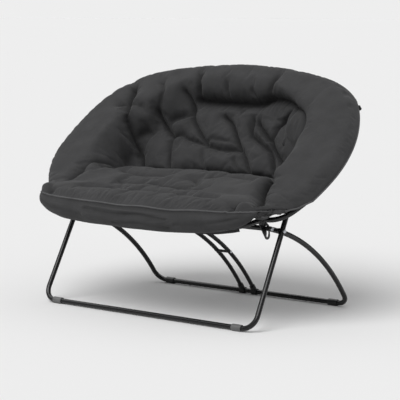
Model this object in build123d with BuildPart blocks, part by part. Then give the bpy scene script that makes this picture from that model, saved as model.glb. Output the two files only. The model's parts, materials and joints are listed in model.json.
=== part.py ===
"""Folding double saucer chair: two crossed U-shaped tube legs carry a wide padded dish.

Millimetres, +Z up, the sitter faces -Y. The origin is on the floor under the middle of the chair.
The front leg and the back arch form one frame. The rear leg swings on it at the leg pivots.
The seat ring folds down at the side hinges, steered by a slotted plate on each side.
"""
from math import atan2, cos, degrees, pi, radians, sin, sqrt, tan

from build123d import *

# ---- tubes ----
TUBE_R = 9.5
TUBE_WALL = 1.5
BAR_R = 8.0
BAR_WALL = 1.2
FLOOR_CLEAR = 2.5
RAIL_Z = TUBE_R + FLOOR_CLEAR
FIT = 0.15

# ---- front leg ----
FRONT_RAIL_Y = -273.165
FRONT_HALF = 517.0
FRONT_TOE_IN = 0.026
FRONT_LEAN = 0.53
FRONT_CORNER_R = 52.0
FRONT_STRAIGHT_RISE = 375.0
FRONT_BOW_OUT = 45.0
FRONT_BOW_S = 350.0
FRONT_BOW_N = -96.0
FRONT_TOP_TILT = 55.0
FRONT_TOP_SEAT = 18.0

# ---- rear leg ----
RAIL_SPREAD = 645.0
REAR_RAIL_Y = FRONT_RAIL_Y + RAIL_SPREAD
REAR_CORNER_R = 46.0
REAR_FOOT_ANGLE = 53.5
LEG_PIVOT_RISE = 335.0
LEG_GAP = 7.29
FRONT_PIVOT_X = FRONT_HALF - FRONT_TOE_IN * LEG_PIVOT_RISE
REAR_HALF = FRONT_PIVOT_X - 2 * TUBE_R - LEG_GAP

# ---- back arch: five bends on each side, in one leaning plane ----
ARCH_LEAN = 44.4
ARCH_SETBACK = 64.0
ARCH_FOOT_Y = FRONT_RAIL_Y + ARCH_SETBACK
ARCH_FOOT_Z = 360.0
ARCH_LEAD = 12.0
ARCH_BENDS = ((110.0, 54.0), (400.0, 36.0), (500.0, 25.0), (330.0, 50.0))
ARCH_JOINT_SHARE = 0.22

# ---- side hinges ----
HINGE_S = 50.0
HINGE_INSET = 5.0
HINGE_X = REAR_HALF - HINGE_INSET
LUG_R = 13.0
LUG_LENGTH = 2 * TUBE_R + 2.0
LUG_NECK = 18.0
HINGE_GAP = 0.6
BOLT_R = 4.0
BOLT_HEAD_R = 7.5
BOLT_HEAD = 4.5
HEAD_ROUND = 2.0
STEERING_TIP = 14.25
KNOB_R = 6.5
KNOB_H = 3.0
KNOB_ROUND = 1.0
KNOB_STEM_R = 4.0
KNOB_STEM = 1.5
KNOB_SINK = 0.5
SPACER_R = 10.0
CROSS_PLUG = 22.0

# ---- slotted side plates and the rear frame's cross tube ----
PLATE_T = 3.5
STUB = 40.0
STUB_PAST_PIN = 12.0
SLEEVE_R = 6.0
SLOT_CLEAR = 0.6
SLOT_STEPS = 18
CROSS_END_GAP = 3.5
PLATE_RIM = 8.0
FOLD_ANGLE = 78.0
SEAT_FOLD = 48.0

# ---- seat ring ----
SEAT_DROP = 7.3
SEAT_FLARE = 2.0
SEAT_SIDE = 42.0
SEAT_CORNER_R = 100.0
SEAT_CORNER_TURN = 84.0

# ---- centre bars ----
BAR_X = 30.0
BAR_FOOT_ANGLE = 55.0
SADDLE_R = 13.0
SADDLE_LENGTH = 26.0
SOCKET_R = 11.5
SOCKET_LENGTH = 32.0
SOCKET_SEAT = 15.0
TIE_SHARE = 0.38
TIE_R = 3.0
TIE_HEAD_R = 5.5
TIE_HEAD = 2.5
TIE_HEAD_ROUND = 1.2
TIE_SPACER_R = 5.5
TIE_SIDE_CLEAR = 0.6
CAP_T = 2.0
CAP_PLUG = 5.0
CAP_ROUND = 0.8

# ---- foot collars ----
COLLAR_LENGTH = 42.0
COLLAR_SOFT = 0.9
FRONT_COLLAR_INSET = 74.0
REAR_COLLAR_INSET = 69.0
COLLAR_R = RAIL_Z + 1.0

# ---- cushion ----
BAND_OUT = 26.0
BAND_IN = 60.0
BAND_HALF_T = 22.0
BAND_BORE_CLEAR = 0.3
SOFT_GAP = 0.8
CUSHION_OVERHANG = 49.0
CUSHION_HALF = HINGE_X + CUSHION_OVERHANG
CUSHION_TIP_SETBACK = 8.0
CUSHION_FRONT_REACH = 104.0
SEAT_THICK = 44.0
BACK_THICK = 40.0
EDGE_THICK = 14.0
TUFT_DEPTH = 9.0
SEAT_CROWN = 10.0
ROLL_HALF_H = 40.0
ROLL_HALF_D = 23.0
ROLL_POWER = 4.0
ROLL_INSET = 25.0
ROLL_HALF = HINGE_X - ROLL_INSET
ROLL_END_H = 12.0
ROLL_PLACES = (0.6, 0.9, 1.0)
ROLL_TAPER = 0.95
ROLL_END_D = 0.6

# Middle line of the seat's top, from the front rail: how far back, how high, the section's lean.
FRONT_TOPS = ((-86.0, 430.4), (-50.0, 436.5), (0.0, 444.0), (61.0, 456.0))
SEAT_START = (63.0, 456.5)
SEAT_TOPS = ((130.0, 474.0, 8.0), (200.0, 489.0, 18.0), (270.0, 499.0, 28.0))
SEAT_NECK_HALF = CUSHION_HALF + 2.0
SEAT_NECK_S = 130.0
FRONT_EDGE_THICK = 16.0
FRONT_TIP_POWER = 2.4
FRONT_SIDE_DROP = 8.0
SEAT_SIDE_DROP = 12.0
SEAT_SIDE_GAP = 5.0
CREASE_S = 345.0
CREASE_DEPTH = 134.0
BACK_ROWS = 4
BACK_CELLS = 4
BACK_CURL = 1.6
BACK_TOP_GAP = 6.0


def unit(y, z, x=0.0):
    """A unit vector from its three components, the side-view ones first."""
    length = sqrt(x * x + y * y + z * z)
    return Vector(x / length, y / length, z / length)


def corner(before, bend, after, radius):
    """Where a bend of this radius leaves the first straight and joins the second."""
    back, on = (before - bend).normalized(), (after - bend).normalized()
    half = back.get_angle(on) / 2
    run = radius / tan(radians(half))
    return bend + back * run, bend + on * run


def turned(y, z, angle):
    """A side-view offset turned about +X, which takes +Y to +Z."""
    a = radians(angle)
    return y * cos(a) - z * sin(a), y * sin(a) + z * cos(a)


ARCH_ALONG = unit(cos(radians(ARCH_LEAN)), sin(radians(ARCH_LEAN)))
ARCH_NORMAL = unit(-sin(radians(ARCH_LEAN)), cos(radians(ARCH_LEAN)))
ARCH_PLANE = Plane(origin=(0, ARCH_FOOT_Y, ARCH_FOOT_Z), x_dir=(1, 0, 0), z_dir=ARCH_NORMAL)


def arch_place(x, s, n=0.0):
    """A place in the arch's own directions: across, up its slope and off its plane."""
    return Vector(x, ARCH_FOOT_Y, ARCH_FOOT_Z) + ARCH_ALONG * s + ARCH_NORMAL * n


def closing_bend(start, heading):
    """Radius and turn of the bend that reaches the middle plane square to it."""
    turn = 180 - heading
    return start.X / sin(radians(turn)), turn


# ---- places that several pieces share ----
HINGE = arch_place(0, HINGE_S)
LEG_DIR = unit(FRONT_LEAN, 1, -FRONT_TOE_IN)
LEG_PIVOT = Vector(0, FRONT_RAIL_Y + FRONT_LEAN * LEG_PIVOT_RISE, RAIL_Z + LEG_PIVOT_RISE)
REAR_INNER_X = REAR_HALF - TUBE_R
REAR_OUTER_X = REAR_HALF + TUBE_R
PLATE_X = HINGE_X - LUG_LENGTH / 2 - PLATE_T
CROSS_HALF = PLATE_X - CROSS_END_GAP
ARCH_END_X = HINGE_X + LUG_LENGTH / 2 + HINGE_GAP
SEAT_PLANE = Plane(
    origin=HINGE,
    x_dir=(1, 0, 0),
    z_dir=(0, sin(radians(SEAT_DROP)), -cos(radians(SEAT_DROP))),
)

# ---- lines that the tubes follow ----
with BuildLine(ARCH_PLANE) as arch_half:
    bends = [Line((ARCH_END_X, HINGE_S), (ARCH_END_X + ARCH_LEAD, HINGE_S))]
    for radius, turn in ARCH_BENDS:
        bends.append(JernArc(bends[-1] @ 1, bends[-1] % 1, radius, turn))
    turned_so_far = sum(turn for _, turn in ARCH_BENDS)
    bends.append(JernArc(bends[-1] @ 1, bends[-1] % 1, *closing_bend(bends[-1] @ 1, turned_so_far)))
ARCH_JOINT = bends[-2] @ ARCH_JOINT_SHARE
ARCH_TANGENT = bends[-2] % ARCH_JOINT_SHARE

with BuildLine() as front_half:
    rail_mid = Vector(0, FRONT_RAIL_Y, RAIL_Z)
    rail_end = Vector(FRONT_HALF, FRONT_RAIL_Y, RAIL_Z)
    straight_top = rail_end + LEG_DIR * (FRONT_STRAIGHT_RISE / LEG_DIR.Z)
    leave, join = corner(rail_mid, rail_end, straight_top, FRONT_CORNER_R)
    rail = Line(rail_mid, leave)
    TangentArc(leave, join, tangent=rail % 1)
    Line(join, straight_top)
    bow = arch_place(FRONT_HALF + FRONT_BOW_OUT, FRONT_BOW_S, FRONT_BOW_N)
    LEG_TOP_DIR = ARCH_ALONG * cos(radians(FRONT_TOP_TILT)) + ARCH_NORMAL * sin(radians(FRONT_TOP_TILT))
    leg_top = ARCH_JOINT - LEG_TOP_DIR * FRONT_TOP_SEAT
    Spline(straight_top, bow, leg_top, tangents=(LEG_DIR, LEG_TOP_DIR))

foot_dir = unit(-cos(radians(REAR_FOOT_ANGLE)), sin(radians(REAR_FOOT_ANGLE)))
with BuildLine() as rear_half:
    rail_mid = Vector(0, REAR_RAIL_Y, RAIL_Z)
    rail_end = Vector(REAR_HALF, REAR_RAIL_Y, RAIL_Z)
    leave, join = corner(rail_mid, rail_end, rail_end + foot_dir * STUB, REAR_CORNER_R)
    rail = Line(rail_mid, leave)
    TangentArc(leave, join, tangent=rail % 1)
    shin = TangentArc(join, Vector(REAR_HALF, LEG_PIVOT.Y, LEG_PIVOT.Z), tangent=foot_dir)
    STUB_DIR = shin % 1
    Line(shin @ 1, shin @ 1 + STUB_DIR * (STUB + STUB_PAST_PIN))
PIN = LEG_PIVOT + STUB_DIR * STUB

with BuildLine(SEAT_PLANE) as ring_half:
    flare = radians(90 - SEAT_FLARE)
    side_from, side_to = (
        (HINGE_X + run * cos(flare), run * sin(flare)) for run in (LUG_NECK, LUG_NECK + SEAT_SIDE)
    )
    side = Line(side_from, side_to)
    bend = JernArc(side @ 1, side % 1, SEAT_CORNER_R, SEAT_CORNER_TURN)
    JernArc(bend @ 1, bend % 1, *closing_bend(bend @ 1, 90 - SEAT_FLARE + SEAT_CORNER_TURN))


def ring_front_at(x):
    """The place on the seat ring's front bend or corner this far from the middle."""
    front, turn = ring_half.edges()[-1], ring_half.edges()[-2]
    edge = front if x <= (front @ 0).X else turn
    low, high = 0.0, 1.0
    for _ in range(30):
        share = (low + high) / 2
        low, high = (share, high) if (edge @ share).X > x else (low, share)
    return edge @ low


def tube_end(path, radius=TUBE_R, wall=TUBE_WALL, bore=None):
    """The ring-shaped section of a tube, square to its path's start."""
    with BuildSketch(Plane(origin=path @ 0, z_dir=path % 0)) as section:
        Circle(radius)
        Circle(bore or radius - wall, mode=Mode.SUBTRACT)
    return section.sketch


def rod(path, radius):
    """A plain rod along a path, for bores and clearances."""
    with BuildPart() as room:
        with BuildSketch(Plane(origin=path @ 0, z_dir=path % 0)):
            Circle(radius)
        sweep(path=path)
    return room.part


def x_plane(x, y, z):
    """A plane square to X, with its own x along +Y and its y along +Z."""
    return Plane(origin=(x, y, z), x_dir=(0, 1, 0), z_dir=(1, 0, 0))


def both_sides(name, right):
    """The right-hand piece and its mirror image, each a node of its own."""
    PIECES[f"{name}_right"] = right
    PIECES[f"{name}_left"] = mirror(right, about=Plane.YZ)


PIECES = {}

# ---- front leg tube: floor rail, two corners and two uprights that bow back behind the dish ----
with BuildPart() as front_leg:
    sweep(tube_end(front_half.wire()), path=front_half.wire())
    mirror(about=Plane.YZ)
    for x in (-FRONT_PIVOT_X, FRONT_PIVOT_X):
        with Locations(x_plane(x, LEG_PIVOT.Y, LEG_PIVOT.Z)):
            Cylinder(BOLT_R + FIT, 3 * TUBE_R, mode=Mode.SUBTRACT)
PIECES["front_leg_tube"] = front_leg.part

# ---- rear leg tube: lower and narrower, its uprights arch over to the stubs past the leg pivots ----
with BuildPart() as rear_leg:
    sweep(tube_end(rear_half.wire()), path=rear_half.wire())
    mirror(about=Plane.YZ)
    for x in (-REAR_HALF, REAR_HALF):
        for hole in (LEG_PIVOT, PIN):
            with Locations(x_plane(x, hole.Y, hole.Z)):
                Cylinder(BOLT_R + FIT, 3 * TUBE_R, mode=Mode.SUBTRACT)
PIECES["rear_leg_tube"] = rear_leg.part

# ---- stub caps: moulded plugs with a flange in the rear leg's open ends ----
stub_end = rear_half.wire() @ 1
with BuildPart() as stub_cap:
    with BuildSketch(Plane(origin=stub_end, z_dir=STUB_DIR)):
        Circle(TUBE_R)
    extrude(amount=CAP_T)
    fillet(stub_cap.faces().sort_by(Axis.Y)[0].edges(), CAP_ROUND)
    with BuildSketch(Plane(origin=stub_end, z_dir=-STUB_DIR)):
        Circle(TUBE_R - TUBE_WALL - FIT)
    extrude(amount=CAP_PLUG)
both_sides("stub_cap", stub_cap.part)

# ---- back arch tube: starts in line with the hinge axis and rounds the dish ----
with BuildPart() as arch:
    sweep(tube_end(arch_half.wire()), path=arch_half.wire())
    mirror(about=Plane.YZ)
PIECES["back_arch_tube"] = arch.part

# ---- seat ring tube: the dish's front half, almost level ----
with BuildPart() as ring:
    sweep(tube_end(ring_half.wire()), path=ring_half.wire())
    mirror(about=Plane.YZ)
PIECES["seat_ring_tube"] = ring.part

# ---- hinge lugs: an eye on the hinge axis with a neck for the ring tube's end ----
neck_dir = side % 0
with BuildPart() as lug:
    with BuildSketch(x_plane(HINGE_X - LUG_LENGTH / 2, HINGE.Y, HINGE.Z)):
        Circle(LUG_R)
    extrude(amount=LUG_LENGTH)
    neck_start = Vector(HINGE_X, HINGE.Y, HINGE.Z)
    with BuildSketch(Plane(origin=neck_start, z_dir=neck_dir)):
        Circle(TUBE_R)
    extrude(amount=LUG_NECK)
    with Locations(x_plane(HINGE_X, HINGE.Y, HINGE.Z)):
        Cylinder(BOLT_R + FIT, 2 * LUG_LENGTH, mode=Mode.SUBTRACT)
both_sides("hinge_lug", lug.part)

# ---- lock knobs: a mushroom button on a short stem, on top of each lug ----
with BuildPart() as knob:
    with BuildSketch(Plane(origin=(HINGE_X, HINGE.Y, HINGE.Z + LUG_R - KNOB_SINK))):
        Circle(KNOB_STEM_R)
    extrude(amount=KNOB_STEM + KNOB_SINK)
    with BuildSketch(Plane(origin=(HINGE_X, HINGE.Y, HINGE.Z + LUG_R + KNOB_STEM))):
        Circle(KNOB_R)
    extrude(amount=KNOB_H)
    fillet(knob.edges().filter_by(GeomType.CIRCLE).group_by(Axis.Z)[-1], KNOB_ROUND)
    add(lug.part, mode=Mode.SUBTRACT)
both_sides("lock_knob", knob.part)


def slot_place(share):
    """Where the pin stands in the resting seat plate's frame, at this share of the whole fold."""
    y, z = turned(PIN.Y - LEG_PIVOT.Y, PIN.Z - LEG_PIVOT.Z, -FOLD_ANGLE * share)
    y, z = y + LEG_PIVOT.Y - HINGE.Y, z + LEG_PIVOT.Z - HINGE.Z
    return turned(y, z, -SEAT_FOLD * share)


# ---- slotted side plates: the pin's own path under the seat ring, worked out from the two turns ----
slot_places = [Vector(*slot_place(k / SLOT_STEPS)) for k in range(SLOT_STEPS + 1)]
with BuildPart() as plate:
    with BuildSketch(x_plane(PLATE_X, HINGE.Y, HINGE.Z)) as plate_outline:
        Circle(LUG_R)
        for share in (0, 0.5, 1):
            with Locations(slot_place(share)):
                Circle(SLEEVE_R + SLOT_CLEAR + PLATE_RIM)
        make_hull()
        Circle(BOLT_R + FIT, mode=Mode.SUBTRACT)
        for here, there in zip(slot_places, slot_places[1:]):
            run = there - here
            with Locations((here + there) * 0.5):
                SlotCenterToCenter(
                    run.length, 2 * (SLEEVE_R + SLOT_CLEAR), rotation=degrees(atan2(run.Y, run.X)), mode=Mode.SUBTRACT
                )
    extrude(amount=PLATE_T)
both_sides("slot_plate", plate.part)

# ---- bolts: a domed head, a shank and a nut, all along X ----


def x_bolt(centre, head_x, tip_x, nut_x=None):
    """A bolt whose head sits at head_x and whose shank runs inwards to tip_x."""
    with BuildPart() as bolt:
        with BuildSketch(x_plane(tip_x, centre.Y, centre.Z)):
            Circle(BOLT_R)
        extrude(amount=head_x - tip_x)
        with BuildSketch(x_plane(head_x, centre.Y, centre.Z)):
            Circle(BOLT_HEAD_R)
        extrude(amount=BOLT_HEAD if head_x > tip_x else -BOLT_HEAD)
        crown = bolt.edges().filter_by(GeomType.CIRCLE).sort_by(Axis.X)
        fillet(crown[-1] if head_x > tip_x else crown[0], HEAD_ROUND)
        if nut_x is not None:
            with BuildSketch(x_plane(nut_x, centre.Y, centre.Z)):
                RegularPolygon(BOLT_HEAD_R, 6)
            extrude(amount=-BOLT_HEAD)
    return bolt.part


leg_head_x = FRONT_PIVOT_X + TUBE_R + FIT
leg_nut_x = REAR_INNER_X - FIT
both_sides("leg_pivot_bolt", x_bolt(LEG_PIVOT, leg_head_x, leg_nut_x, leg_nut_x))
hinge_head_x = PLATE_X - FIT
both_sides("hinge_bolt", x_bolt(HINGE, hinge_head_x, ARCH_END_X + 2 * TUBE_R))
both_sides("steering_bolt", x_bolt(PIN, REAR_OUTER_X + FIT, CROSS_HALF - STEERING_TIP))

# ---- leg spacers between the crossed uprights ----
spacer_from = REAR_OUTER_X + FIT
spacer_to = FRONT_PIVOT_X - TUBE_R - SPACER_R * FRONT_TOE_IN - FIT
with BuildPart() as spacer:
    with BuildSketch(x_plane(spacer_from, LEG_PIVOT.Y, LEG_PIVOT.Z)):
        Circle(SPACER_R)
        Circle(BOLT_R + FIT, mode=Mode.SUBTRACT)
    extrude(amount=spacer_to - spacer_from)
both_sides("leg_spacer", spacer.part)

# ---- steering sleeves: rollers on the steering bolts, inside the plates' slots ----
with BuildPart() as sleeve:
    with BuildSketch(x_plane(CROSS_HALF + FIT, PIN.Y, PIN.Z)):
        Circle(SLEEVE_R)
        Circle(BOLT_R + FIT, mode=Mode.SUBTRACT)
    extrude(amount=REAR_INNER_X - CROSS_HALF - 2 * FIT)
both_sides("steering_sleeve", sleeve.part)

# ---- plugs: closed inserts in the arch tube's and the cross tube's ends, bored for their bolts ----
with BuildPart() as hinge_plug:
    with BuildSketch(x_plane(ARCH_END_X, HINGE.Y, HINGE.Z)):
        Circle(TUBE_R - TUBE_WALL - FIT)
        Circle(BOLT_R + FIT, mode=Mode.SUBTRACT)
    extrude(amount=ARCH_LEAD)
both_sides("hinge_plug", hinge_plug.part)

with BuildPart() as cross_plug:
    with BuildSketch(x_plane(CROSS_HALF, PIN.Y, PIN.Z)):
        Circle(TUBE_R - TUBE_WALL - FIT)
        Circle(BOLT_R + FIT, mode=Mode.SUBTRACT)
    extrude(amount=-CROSS_PLUG)
both_sides("cross_plug", cross_plug.part)

# ---- cross tube: holds the rear leg's stubs and the centre bars' tops together ----
with BuildPart() as cross:
    with BuildSketch(x_plane(-CROSS_HALF, PIN.Y, PIN.Z)):
        Circle(TUBE_R)
        Circle(TUBE_R - TUBE_WALL, mode=Mode.SUBTRACT)
    extrude(amount=2 * CROSS_HALF)
PIECES["rear_cross_tube"] = cross.part

# ---- centre bars: arched tubes from the rear rail's saddles, coped onto the cross tube ----
bar_foot_dir = unit(-cos(radians(BAR_FOOT_ANGLE)), sin(radians(BAR_FOOT_ANGLE)))
rail_axis = Vector(BAR_X, REAR_RAIL_Y, RAIL_Z)
bar_top = Vector(BAR_X, PIN.Y, PIN.Z)
with BuildPart() as bar:
    with BuildLine() as bar_path:
        TangentArc(rail_axis + bar_foot_dir * SOCKET_SEAT, bar_top, tangent=bar_foot_dir)
    sweep(tube_end(bar_path.wire(), BAR_R, BAR_WALL), path=bar_path.wire())
    with Locations(x_plane(BAR_X, PIN.Y, PIN.Z)):
        Cylinder(TUBE_R, 4 * BAR_R, mode=Mode.SUBTRACT)
    tie_at = bar_path.wire() @ TIE_SHARE
    with Locations(x_plane(BAR_X, tie_at.Y, tie_at.Z)):
        Cylinder(TIE_R + FIT, 4 * BAR_R, mode=Mode.SUBTRACT)
both_sides("centre_bar", bar.part)

# ---- rail saddles: a sleeve on the rear rail with a socket for the bar's foot ----
with BuildPart() as saddle:
    with BuildSketch(x_plane(BAR_X - SADDLE_LENGTH / 2, rail_axis.Y, rail_axis.Z)):
        Circle(SADDLE_R)
    extrude(amount=SADDLE_LENGTH)
    with BuildSketch(Plane(origin=rail_axis, z_dir=bar_foot_dir)):
        Circle(SOCKET_R)
    extrude(amount=SOCKET_LENGTH)
    with Locations(x_plane(BAR_X, rail_axis.Y, rail_axis.Z)):
        Cylinder(TUBE_R + FIT, 2 * SADDLE_LENGTH, mode=Mode.SUBTRACT)
    # Round the floor rail only the upper part stays, so that the collars alone touch the floor.
    with BuildSketch(Plane(origin=rail_axis + bar_foot_dir * (SOCKET_SEAT - 1), z_dir=bar_foot_dir)):
        Circle(BAR_R + 2 * FIT)
    extrude(amount=2 * SOCKET_LENGTH, mode=Mode.SUBTRACT)
    with Locations((BAR_X, rail_axis.Y, FLOOR_CLEAR / 2 - SADDLE_R)):
        Box(4 * SADDLE_R, 4 * SADDLE_R, 2 * SADDLE_R, mode=Mode.SUBTRACT)
both_sides("rail_saddle", saddle.part)

# ---- centre tie: a rivet through the two bars with a spacer between them ----
tie_half = BAR_X + BAR_R + FIT
with BuildPart() as tie:
    with BuildSketch(x_plane(-tie_half, tie_at.Y, tie_at.Z)):
        Circle(TIE_R)
    extrude(amount=2 * tie_half)
    for end, way in ((-tie_half, -1), (tie_half, 1)):
        with BuildSketch(x_plane(end, tie_at.Y, tie_at.Z)):
            Circle(TIE_HEAD_R)
        extrude(amount=way * TIE_HEAD)
    rims = tie.edges().filter_by(GeomType.CIRCLE).sort_by(Axis.X)
    fillet((rims[0], rims[-1]), TIE_HEAD_ROUND)
PIECES["centre_tie"] = tie.part

spacer_half = BAR_X - BAR_R - TIE_SIDE_CLEAR
with BuildPart() as tie_spacer:
    with BuildSketch(x_plane(-spacer_half, tie_at.Y, tie_at.Z)):
        Circle(TIE_SPACER_R)
        Circle(TIE_R + FIT, mode=Mode.SUBTRACT)
    extrude(amount=2 * spacer_half)
PIECES["tie_spacer"] = tie_spacer.part

# ---- foot collars: plain sleeves that alone touch the floor ----


def foot_collar(x, y):
    """A sleeve round a floor rail, with softened ends and a flat under it."""
    with BuildPart() as collar:
        with BuildSketch(x_plane(x - COLLAR_LENGTH / 2, y, RAIL_Z)):
            Circle(COLLAR_R)
        extrude(amount=COLLAR_LENGTH)
        chamfer(collar.edges().filter_by(GeomType.CIRCLE), COLLAR_SOFT)
        with Locations(x_plane(x, y, RAIL_Z)):
            Cylinder(TUBE_R + FIT, 2 * COLLAR_LENGTH, mode=Mode.SUBTRACT)
        with Locations((x, y, -COLLAR_R)):
            Box(2 * COLLAR_LENGTH, 4 * COLLAR_R, 2 * COLLAR_R, mode=Mode.SUBTRACT)
    return collar.part


both_sides("front_foot_collar", foot_collar(FRONT_HALF - FRONT_COLLAR_INSET, FRONT_RAIL_Y))
both_sides("rear_foot_collar", foot_collar(REAR_HALF - REAR_COLLAR_INSET, REAR_RAIL_Y))

# ---- arch saddles: clasp the arch tube and take the front leg's bowed ends ----
def saddle_form(radius, length, socket):
    """The outside of an arch saddle: a sleeve on the arch with a socket for the leg's end."""
    with BuildPart() as form:
        with BuildSketch(Plane(origin=ARCH_JOINT - ARCH_TANGENT * (length / 2), z_dir=ARCH_TANGENT)):
            Circle(radius)
        extrude(amount=length)
        with BuildSketch(Plane(origin=ARCH_JOINT, z_dir=-LEG_TOP_DIR)):
            Circle(radius)
        extrude(amount=socket)
    return form.part


with BuildPart() as arch_saddle:
    add(saddle_form(SADDLE_R, 2 * SADDLE_LENGTH, SOCKET_LENGTH))
    add(rod(arch_half.wire(), TUBE_R + FIT), mode=Mode.SUBTRACT)
    add(rod(front_half.wire(), TUBE_R + FIT), mode=Mode.SUBTRACT)
both_sides("arch_saddle", arch_saddle.part)

# ---- rim band: the padded sleeve round the arch tube, wider on its inner side ----
with BuildLine() as band_half:
    for bend in bends[2:]:
        add(bend)
band_path = band_half.wire()
with BuildPart() as band_whole:
    outwards = (band_path % 0).cross(ARCH_NORMAL)
    with BuildSketch(Plane(origin=band_path @ 0, x_dir=outwards, z_dir=band_path % 0)):
        with Locations(((BAND_OUT - BAND_IN) / 2, 0)):
            Ellipse((BAND_OUT + BAND_IN) / 2, BAND_HALF_T)
    sweep(path=band_path)
    mirror(about=Plane.YZ)
saddle_room = saddle_form(SADDLE_R + SOFT_GAP, 2 * SADDLE_LENGTH + 2 * SOFT_GAP, 2 * SOCKET_LENGTH)
with BuildPart() as arch_bore:
    add(rod(arch_half.wire(), TUBE_R + BAND_BORE_CLEAR))
    mirror(about=Plane.YZ)
with BuildPart() as band:
    add(band_whole.part)
    add(arch_bore.part, mode=Mode.SUBTRACT)
    add(saddle_room, mode=Mode.SUBTRACT)
    add(mirror(saddle_room, about=Plane.YZ), mode=Mode.SUBTRACT)
PIECES["rim_band"] = band.part


# ---- cushion: a fan of sections from the front edge, over the seat and up the back ----
def dish_half_width(s):
    """How far the rim band's inner edge stands from the middle, at this height up the arch's slope."""
    inset = BAND_IN + SOFT_GAP
    for bend in bends[2:]:
        centre = ARCH_PLANE.to_local_coords(bend.arc_center)
        low, high = (ARCH_PLANE.to_local_coords(bend @ end).Y - centre.Y for end in (0, 1))
        shrink = (bend.radius - inset) / bend.radius
        if s - centre.Y <= high * shrink or bend is bends[-1]:
            run = max(s - centre.Y, low * shrink)
            return centre.X + sqrt(max((bend.radius - inset) ** 2 - run**2, 0))


def padded_section(plane, half, rise, thick, power, tufts=0.0, cells=0, crown=0.0):
    """A closed cushion outline: raised sides, a crown or a row of tufts on top, thin edges."""
    steps = max(8, 4 * cells)

    def top(t):
        swell = crown * (1 - t * t)
        if cells:
            swell += tufts * abs(sin(pi * cells * (t + 1) / 2))
        return rise * abs(t) ** power + swell

    def under(t):
        return rise * abs(t) ** power - EDGE_THICK - (thick - EDGE_THICK) * (1 - t**4)

    ts = [-1 + 2 * i / steps for i in range(steps + 1)]
    with BuildSketch(plane) as outline:
        with BuildLine():
            Spline(*[(half * t, top(t)) for t in ts])
            Line((half, top(1)), (half, under(1)))
            Spline(*[(half * t, under(t)) for t in reversed(ts[::2])])
            Line((-half, under(-1)), (-half, top(-1)))
        make_face()
    return outline.sketch


def fan_plane(y, z, lean):
    """A section plane across the chair, its up direction leaning forward by this angle."""
    a = radians(lean)
    return Plane(origin=(0, y, z), x_dir=(1, 0, 0), z_dir=(0, -cos(a), -sin(a)))


def rise_to_arch(y, z, lean):
    """From a place on the dish's middle line, how far its section runs to the arch's plane."""
    a = radians(lean)
    up = Vector(0, -sin(a), cos(a))
    offset = Vector(0, y, z) - Vector(0, ARCH_FOOT_Y, ARCH_FOOT_Z)
    rise = -offset.dot(ARCH_NORMAL) / up.dot(ARCH_NORMAL)
    return rise, (offset + up * rise).dot(ARCH_ALONG)


with BuildPart() as seat_front:
    for back, high in FRONT_TOPS:
        reach = (CUSHION_TIP_SETBACK - back) / CUSHION_FRONT_REACH
        half = CUSHION_HALF * sqrt(1 - max(reach, 0) ** FRONT_TIP_POWER)
        grow = (back - FRONT_TOPS[0][0]) / (FRONT_TOPS[-1][0] - FRONT_TOPS[0][0])
        thick = FRONT_EDGE_THICK + (SEAT_THICK - FRONT_EDGE_THICK) * grow
        place = fan_plane(FRONT_RAIL_Y + back, high, 0)
        add(padded_section(place, half, -FRONT_SIDE_DROP, thick, 2.0, crown=SEAT_CROWN))
    loft()
PIECES["seat_front_pad"] = seat_front.part

with BuildPart() as seat_rear:
    start = fan_plane(FRONT_RAIL_Y + SEAT_START[0], SEAT_START[1], 0)
    add(padded_section(start, CUSHION_HALF, -SEAT_SIDE_DROP, SEAT_THICK, 3.0, crown=SEAT_CROWN))
    for back, high, lean in SEAT_TOPS:
        y = FRONT_RAIL_Y + back
        rise, s = rise_to_arch(y, high, lean)
        half = SEAT_NECK_HALF if s < SEAT_NECK_S else dish_half_width(s) - SEAT_SIDE_GAP
        add(padded_section(fan_plane(y, high, lean), half, rise + SEAT_SIDE_DROP, SEAT_THICK, 3.0, crown=SEAT_CROWN))
    crease = fan_plane(*tuple(arch_place(0, CREASE_S, -CREASE_DEPTH))[1:], ARCH_LEAN)
    half = dish_half_width(CREASE_S) - SEAT_SIDE_GAP
    add(padded_section(crease, half, CREASE_DEPTH, SEAT_THICK, 4.0, crown=SEAT_CROWN))
    loft()
PIECES["seat_rear_pad"] = seat_rear.part

back_top_s = ARCH_PLANE.to_local_coords(bends[-1] @ 1).Y - BAND_IN - BACK_TOP_GAP
with BuildPart() as back:
    for k in range(2 * BACK_ROWS + 1):
        share = k / (2 * BACK_ROWS)
        s = CREASE_S + SOFT_GAP + share * (back_top_s - CREASE_S)
        depth = CREASE_DEPTH * (1 - share**BACK_CURL) + EDGE_THICK / 2
        place = fan_plane(*tuple(arch_place(0, s, -depth))[1:], ARCH_LEAN)
        tufts = TUFT_DEPTH if k % 2 else 0.0
        half = dish_half_width(s)
        add(padded_section(place, half, depth, BACK_THICK, 4.0, tufts, BACK_CELLS))
    loft(ruled=True)
PIECES["back_pad"] = back.part

# ---- front roll: the padded fascia that hangs round the seat ring's front ----
with BuildPart() as roll:
    for share in (*(-p for p in reversed(ROLL_PLACES)), 0.0, *ROLL_PLACES):
        swell = 1 - ROLL_TAPER * abs(share) ** ROLL_POWER
        middle = ring_front_at(abs(share) * ROLL_HALF)
        with BuildSketch(x_plane(share * ROLL_HALF, middle.Y, middle.Z)):
            Ellipse(ROLL_HALF_D * (ROLL_END_D + (1 - ROLL_END_D) * swell), ROLL_END_H + (ROLL_HALF_H - ROLL_END_H) * swell)
    loft()
    for half in (ring_half.wire(), mirror(ring_half.wire(), about=Plane.YZ)):
        add(rod(half, TUBE_R + BAND_BORE_CLEAR), mode=Mode.SUBTRACT)
PIECES["front_roll"] = roll.part

for name, piece in PIECES.items():
    piece.label = name
    export_step(piece, f"parts/{name}.step")
    print(name, round(piece.volume), piece.is_valid)
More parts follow.
